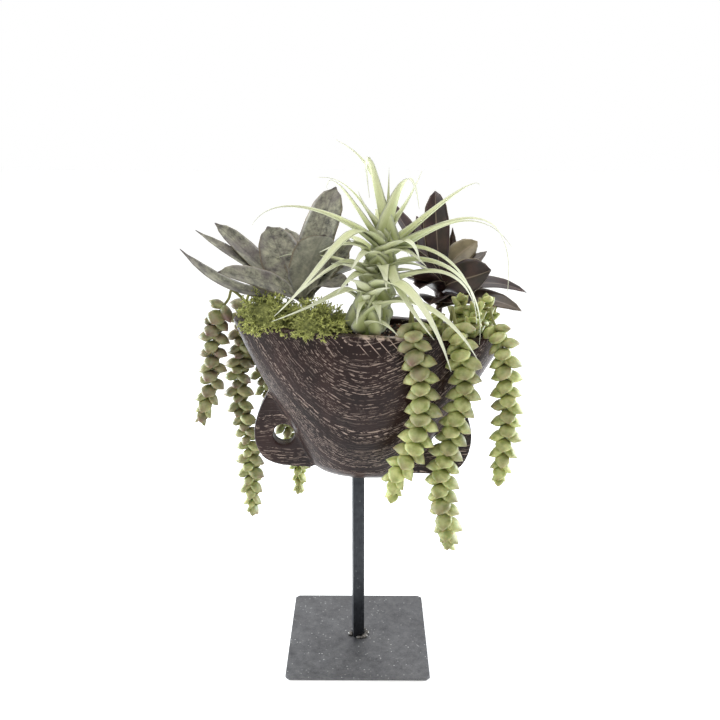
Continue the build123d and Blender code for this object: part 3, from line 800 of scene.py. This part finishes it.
INWARD_SHARE = 0.7         # of that length, for a leaf that points in at the bell
BUD_SHARE = 0.26           # of the strand's width, for the buds at its tip
BUD_SETBACK = 3.0
LEAF_RINGS = 8
LEAF_SIDES = 10
LEAF_HALF_WIDTH = 0.54     # these four are shares of a leaf's length
LEAF_TOP = 0.28
LEAF_BELLY = 0.36
LEAF_DROOP = 0.2

SPRIGS = [((98, -2, 345), (99, -14, 391)), ((108, -8, 345), (113, -22, 384)),
          ((116, 4, 345), (124, -10, 388)), ((74, -10, 345), (74, -25, 376)),
          ((100, -12, 345), (110, -27, 374)), ((116, 8, 345), (133, 0, 376))]


def sedum_leaf(builder, root, out, droop, length, tone):
    """One plump, pointed, boat-shaped leaf that grows out from the stem and bends towards its tip."""
    side = out.cross(droop).normalized()
    rings = []
    for step in range(LEAF_RINGS + 1):
        u = step / LEAF_RINGS
        fullness = 0.6 + 0.4 * sin(pi * u) if u < 0.5 else 1 - ((u - 0.5) / 0.5) ** 1.6
        fullness = max(fullness, 0.02)
        centre = root + out * (length * u) + droop * (length * LEAF_DROOP * u * u)
        up = (out * (2 * LEAF_DROOP * u) - droop).normalized()
        ring = []
        for k in range(LEAF_SIDES):
            angle = tau * k / LEAF_SIDES
            height = sin(angle) * (LEAF_TOP if sin(angle) > 0 else LEAF_BELLY)
            offset = side * (cos(angle) * LEAF_HALF_WIDTH) + up * height
            position = centre + offset * (length * fullness)
            ring.append(builder.point(position, (u, k / LEAF_SIDES), tone))
        rings.append(ring)
    builder.skin(rings)


def clamped(value):
    return min(max(value, 0), 1)


def running_lengths(points):
    """The distance along a route to each of its points."""
    lengths = [0.0]
    for one, two in zip(points, points[1:]):
        lengths.append(lengths[-1] + (two - one).length)
    return lengths


def side_of(along):
    """A direction square to a stem, and square to the line from front to back."""
    return Vector((0, 1, 0)).cross(along).normalized()


def leaf_pair(builder, centre, along, angle, span, end, tone, droop_share, dice):
    """Two opposite leaves on a stem. end runs from 0 to 1 over the last stretch before the tip."""
    for half_turn in (0, pi):
        out = Matrix.Rotation(angle + half_turn, 3, along) @ side_of(along)
        lean = out + along * (droop_share * (0.2 + 1.1 * end) + dice.uniform(-0.14, 0.14))
        points_in = out.y * centre.y < -0.5 * abs(centre.y)
        length = span * MM * LEAF_SHARE * (1 - TIP_SHORTENING * end * end)
        length *= dice.uniform(0.88, 1.06) * (INWARD_SHARE if points_in else 1)
        leaf_tone = clamped(tone + dice.uniform(-0.2, 0.2))
        sedum_leaf(builder, centre, lean.normalized(), along, length, leaf_tone)


def leafy_route(builder, points, first, span, ripe, droop_share, dice):
    """Opposite pairs of leaves along a route, each a quarter turn on from the last, and buds."""
    lengths = running_lengths(points)
    total = lengths[-1]
    reach = first * MM
    count = 0
    while reach < total:
        index = max(i for i, length in enumerate(lengths[:-1]) if length <= reach)
        share = (reach - lengths[index]) / (lengths[index + 1] - lengths[index])
        centre = points[index].lerp(points[index + 1], share)
        along = (points[index + 1] - points[index]).normalized()
        end = clamped(1 - (total - reach) / (TIP_STRETCH * MM))
        angle = radians(PAIR_TURN + 90 * count) + dice.uniform(-0.24, 0.24)
        tone = ripe[0] + (ripe[1] - ripe[0]) * reach / total
        leaf_pair(builder, centre, along, angle, span, end, tone, droop_share, dice)
        reach += (PAIR_SPACING + (TIP_SPACING - PAIR_SPACING) * end) * MM
        count += 1
    along = (points[-1] - points[-2]).normalized()
    root = points[-1] - along * BUD_SETBACK * MM
    for k in range(3):
        out = Matrix.Rotation(tau * k / 3, 3, along) @ side_of(along)
        bud = (out * 0.35 + along).normalized()
        sedum_leaf(builder, root, bud, along, span * MM * BUD_SHARE, ripe[1])


STEM_ROUTE_STEPS = 8       # to each stretch of a strand's stem
LEAF_ROUTE_STEPS = 10      # and of the route that its leaves follow
STEM_THINNING = 0.45       # share of a stem's radius that is gone at its tip


def grow_strand(strand, seed):
    dice = random.Random(seed)
    inner, hanging = millimetres(strand.inner), millimetres(strand.hanging)
    down = (hanging[1] - hanging[0]).normalized()
    route = spline([*inner, hanging[0] - down * HANG_LEAD * MM, *hanging], STEM_ROUTE_STEPS)
    count = len(route)
    radii = [STEM_RADIUS * MM * (1 - STEM_THINNING * index / count) for index in range(count)]
    stem = Builder()
    tube(stem, route, radii, 0.5)
    nodes = [f"{strand.name}_fixed_stem", f"{strand.name}_hanging_stem"]
    whole = stem.piece(f"{strand.name}_stem", SEDUM_STEM, "sedum_stem", nodes, body=None)
    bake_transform(whole)
    leaves = Builder()
    leaf_route = spline(hanging, LEAF_ROUTE_STEPS)
    leafy_route(leaves, leaf_route, FIRST_PAIR, strand.width, strand.ripe, 1.0, dice)
    name = f"{strand.name}_leaves"
    leaves.piece(f"{strand.name}_foliage", SEDUM_LEAF, "sedum_leaf", [name], body=strand.name)


SPRIG_STEPS = 6
SPRIG_FIRST_PAIR = 12
SPRIG_WIDTH = 26
SPRIG_TONES = (0.3, 0.05)


def grow_sprigs(seed):
    dice = random.Random(seed)
    stems, leaves = Builder(), Builder()
    for foot, tip in SPRIGS:
        foot, tip = millimetres([foot, tip])
        route = [foot.lerp(tip, step / SPRIG_STEPS) for step in range(SPRIG_STEPS + 1)]
        tube(stems, route, [STEM_RADIUS * MM] * len(route), 0.4)
        leafy_route(leaves, route, SPRIG_FIRST_PAIR, SPRIG_WIDTH, SPRIG_TONES, 0.8, dice)
    stems.piece("sprig_stalks", SEDUM_STEM, "sedum_stem", ["sprig_stems"])
    leaves.piece("sprig_foliage", SEDUM_LEAF, "sedum_leaf", ["sprig_leaves"])


# ---------------- moss and soil
SHOOT_RADII = (0.0009, 0.0008, 0.0007)     # of a tuft's main shoot, its side shoots and the finer ones
SIDE_SHOOTS = 6
TUFT_SIZE = (0.007, 0.014)
TUFT_DEPTH = (0.74, 0.94)  # where tufts are rooted, as a share of the mound's half size
LOWEST_TUFT = -0.35        # downward share of a tuft's direction, below which none is made
HEART_SHARE = 0.86         # of the mound's half size, for the heart under the tufts, painted dark as the shade in the gaps between them
HEART_BUMP = 0.0022
HEART_BUMP_SCALE = 260
SOIL_REACH = 0.95          # share of the bed that the loose grains cover
SOIL_DEPTH = 0.007         # the rest of the bed's height is its slope from left to right
GRAIN_SIZE = (0.0006, 0.0024)
COIR_LENGTH = (0.006, 0.016)
COIR_RADIUS = 0.0003


def twig(builder, start, end, radius, tone):
    """A thin four-faced spike, darker at its root: painted shade deep in a tuft and down against the
    bed.
    """
    turn = (end - start).to_track_quat("Z", "Y")
    base = []
    # Painted shade: the root corners take less than a third of the spike's tone.
    for k in range(3):
        corner = turn @ Vector((cos(tau * k / 3), sin(tau * k / 3), 0)) * radius
        base.append(builder.point(start + corner, tone=tone * 0.3))
    apex = builder.point(end, tone=tone)
    builder.faces.append((base[2], base[1], base[0]))
    for k in range(3):
        builder.faces.append((base[k], base[(k + 1) % 3], apex))


def scattered(dice):
    """A direction drawn evenly from the whole sphere."""
    return Vector([dice.gauss(0, 1) for _ in range(3)]).normalized()


def moss_tuft(builder, root, direction, size, dice):
    """A branched tuft: a main shoot, side shoots along it, and finer ones on those."""
    tone = dice.random()
    main, side, fine = SHOOT_RADII
    twig(builder, root, root + direction * size, main, tone)
    for k in range(SIDE_SHOOTS):
        start = root + direction * (size * (0.25 + 0.12 * k))
        outwards = (direction * 0.8 + scattered(dice) * 0.9).normalized()
        length = size * dice.uniform(0.28, 0.42)
        twig(builder, start, start + outwards * length, side, tone)
        for _ in range(2):
            fork = start + outwards * (length * dice.uniform(0.45, 0.85))
            finer = (outwards + scattered(dice) * 0.8).normalized()
            # Painted light: the finer shoots, out at the tuft's edge, are a little lighter.
            twig(builder, fork, fork + finer * (length * 0.6), fine, min(tone + 0.2, 1))


def grow_moss(node, count, seed):
    """A mound of tufts over the CAD mound, with a heart under them that is painted dark as the shade in
    the gaps between the tufts.
    """
    dice = random.Random(seed)
    low, high = node_corners(node)
    centre = Vector(((low.x + high.x) / 2, (low.y + high.y) / 2, low.z + (high.z - low.z) * 0.25))
    half = Vector(((high.x - low.x) / 2, (high.y - low.y) / 2, high.z - centre.z))
    builder = Builder()
    for _ in range(count):
        way = scattered(dice)
        if way.z < LOWEST_TUFT:
            continue
        spread = Vector((way.x * half.x, way.y * half.y, way.z * half.z)) * dice.uniform(*TUFT_DEPTH)
        outwards = (Vector((way.x, way.y, max(way.z, 0.1))) + scattered(dice) * 0.5).normalized()
        moss_tuft(builder, centre + spread, outwards, dice.uniform(*TUFT_SIZE), dice)
    builder.piece(f"{node}_tufts", MOSS, "moss", [node], smooth=False)
    heart = bmesh.new()
    matrix = Matrix.Translation(centre) @ Matrix.Diagonal((*(half * HEART_SHARE), 1))
    bmesh.ops.create_icosphere(heart, subdivisions=4, radius=1, matrix=matrix)
    for vertex in heart.verts:
        bump = noise.noise(vertex.co * HEART_BUMP_SCALE) * HEART_BUMP
        vertex.co += (vertex.co - centre).normalized() * bump
        vertex.co.z = max(vertex.co.z, low.z)
    mesh = bpy.data.meshes.new(f"{node}_heart")
    fill_mesh(mesh, heart)
    # The heart has no tone of its own, so it takes the moss's darkest colours: painted shade between the
    # tufts.
    place_piece(mesh, f"{node}_heart", MOSS, [], ROOT)


def grain(builder, centre, size, dice):
    """One irregular eight-faced chip."""
    turn = scattered(dice).to_track_quat("Z", "Y")
    tone = dice.random()
    reaches = [(1, 0, 0), (0, 1, 0), (-1, 0, 0), (0, -1, 0), (0, 0, 1), (0, 0, -1)]
    corners = [builder.point(centre + turn @ Vector(reach) * (size * dice.uniform(0.5, 1.2)), tone=tone)
               for reach in reaches]
    for k in range(4):
        one, two = corners[k], corners[(k + 1) % 4]
        builder.faces.append((one, two, corners[4]))
        builder.faces.append((two, one, corners[5]))


def bed_of_soil(count, seed):
    """Bark, grit and coir strands over a rough bed, inside the bell's mouth."""
    dice = random.Random(seed)
    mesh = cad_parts["soil_dressing"].data.copy()
    place_piece(mesh, "soil_bed", SOIL, ["soil_dressing"], ROOT)
    low, high = node_corners("soil_dressing")
    middle = (low + high) / 2
    half_x, half_y = (high.x - low.x) / 2, (high.y - low.y) / 2
    slope = (high.z - low.z - SOIL_DEPTH) / (high.x - low.x)
    builder = Builder()
    for index in range(count):
        angle, reach = dice.random() * tau, sqrt(dice.random()) * SOIL_REACH
        x = middle.x + cos(angle) * reach * half_x
        y = middle.y + sin(angle) * reach * half_y
        z = high.z - slope * (x - low.x) + dice.uniform(-0.0005, 0.0012)
        place = Vector((x, y, z))
        if index % 4:
            grain(builder, place, dice.uniform(*GRAIN_SIZE), dice)
        else:
            way = Vector((dice.gauss(0, 1), dice.gauss(0, 1), dice.gauss(0, 0.25))).normalized()
            end = place + way * dice.uniform(*COIR_LENGTH)
            twig(builder, place, end, COIR_RADIUS, dice.uniform(0.4, 0.9))
    builder.piece("soil_grains", SOIL, "soil", [], smooth=False)


# ---------------- light, floor and camera
# Each light aims at LIT_POINT. Its place, its width and height, its power in watts and its colour.
Light = namedtuple("Light", "name place width height power tint")
WHITE = (1, 1, 1)
COOL = (0.86, 0.93, 1)
LIT_POINT = (0, 0, 0.32)
LIGHTS = [Light("key", (-0.35, -0.9, 1.6), 0.7, 0.7, 9, WHITE),
          Light("left_wall", (-1.0, 0.4, 0.3), 0.8, 0.5, 21, COOL),
          Light("right_wall", (1.0, 0.4, 0.3), 0.8, 0.5, 17, COOL),
          Light("overhead", (0, 0.3, 1.7), 1.2, 1.2, 10, WHITE)]
FLOOR_REACH = 6
FLOOR_HEIGHT = -0.0004     # just under the plate, so that the two don't share a face
CAMERA_PLACE = (0.00735, -0.80313, 0.57812)
CAMERA_DOWN = 0.3071       # radians below level
CAMERA_ROLL = 0.0066
CAMERA_LENS = 42.06        # millimetres, for a sensor 36 mm wide


def area_light(light):
    data = bpy.data.lights.new(light.name, "AREA")
    data.color = light.tint
    data.shape = "RECTANGLE"
    data.size = light.width
    data.size_y = light.height
    data.energy = light.power
    made = add_object(light.name, data)
    made.location = light.place
    aim = Vector(LIT_POINT) - Vector(light.place)
    made.rotation_euler = aim.to_track_quat("-Z", "Y").to_euler()


def studio_world():
    """White behind the object, and greyer towards the front, which the steel reflects."""
    world = bpy.data.worlds.new("studio")
    world.use_nodes = True
    tree = world.node_tree
    place = tree.nodes.new("ShaderNodeTexCoord")
    split = tree.nodes.new("ShaderNodeSeparateXYZ")
    fade = tree.nodes.new("ShaderNodeMapRange")
    for socket, value in (("From Min", -0.7), ("From Max", 0.3), ("To Min", 0.3), ("To Max", 1.0)):
        fade.inputs[socket].default_value = value
    tree.links.new(place.outputs["Generated"], split.inputs[0])
    tree.links.new(split.outputs["Y"], fade.inputs["Value"])
    tree.links.new(fade.outputs["Result"], tree.nodes["Background"].inputs["Strength"])
    tree.nodes["Background"].inputs["Color"].default_value = (1, 1, 1, 1)
    bpy.context.scene.world = world
    bpy.context.scene.view_settings.view_transform = "Standard"


def pale_floor():
    mesh = bpy.data.meshes.new("floor")
    corners = [(x * FLOOR_REACH, y * FLOOR_REACH, FLOOR_HEIGHT)
               for x, y in ((-1, -1), (1, -1), (1, 1), (-1, 1))]
    mesh.from_pydata(corners, [], [(0, 1, 2, 3)])
    mesh.materials.append(floor_material())
    floor = add_object("floor", mesh)


def camera():
    data = bpy.data.cameras.new("camera")
    data.sensor_width = 36
    data.lens = CAMERA_LENS
    made = add_object("camera", data)
    made.location = CAMERA_PLACE
    made.rotation_euler = (pi / 2 - CAMERA_DOWN, 0, CAMERA_ROLL)
    bpy.context.scene.camera = made


# ---------------- everything
carved_bell()
softened_copy("base_plate", "plate", PLATE_STEEL, 0.0004)
softened_copy("stand_bar", "bar", BAR_STEEL, 0.0006)
weld_bead()
for node, material in (("retaining_washer", FIXING_STEEL), ("retaining_screw", FIXING_STEEL),
                       ("floral_foam", FOAM)):
    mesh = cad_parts[node].data
    mesh.materials.clear()
    mesh.materials.append(material)
grow_plant(AIR_PLANT, 1)
grow_plant(GREY_PLANT, 2)
grow_plant(BURGUNDY_PLANT, 3)
for seed, strand in enumerate(STRANDS):
    grow_strand(strand, 10 + seed)
grow_sprigs(30)
grow_moss("moss_left", 300, 40)
grow_moss("moss_front", 320, 41)
bed_of_soil(2600, 50)
studio_world()
for light in LIGHTS:
    area_light(light)
pale_floor()
camera()
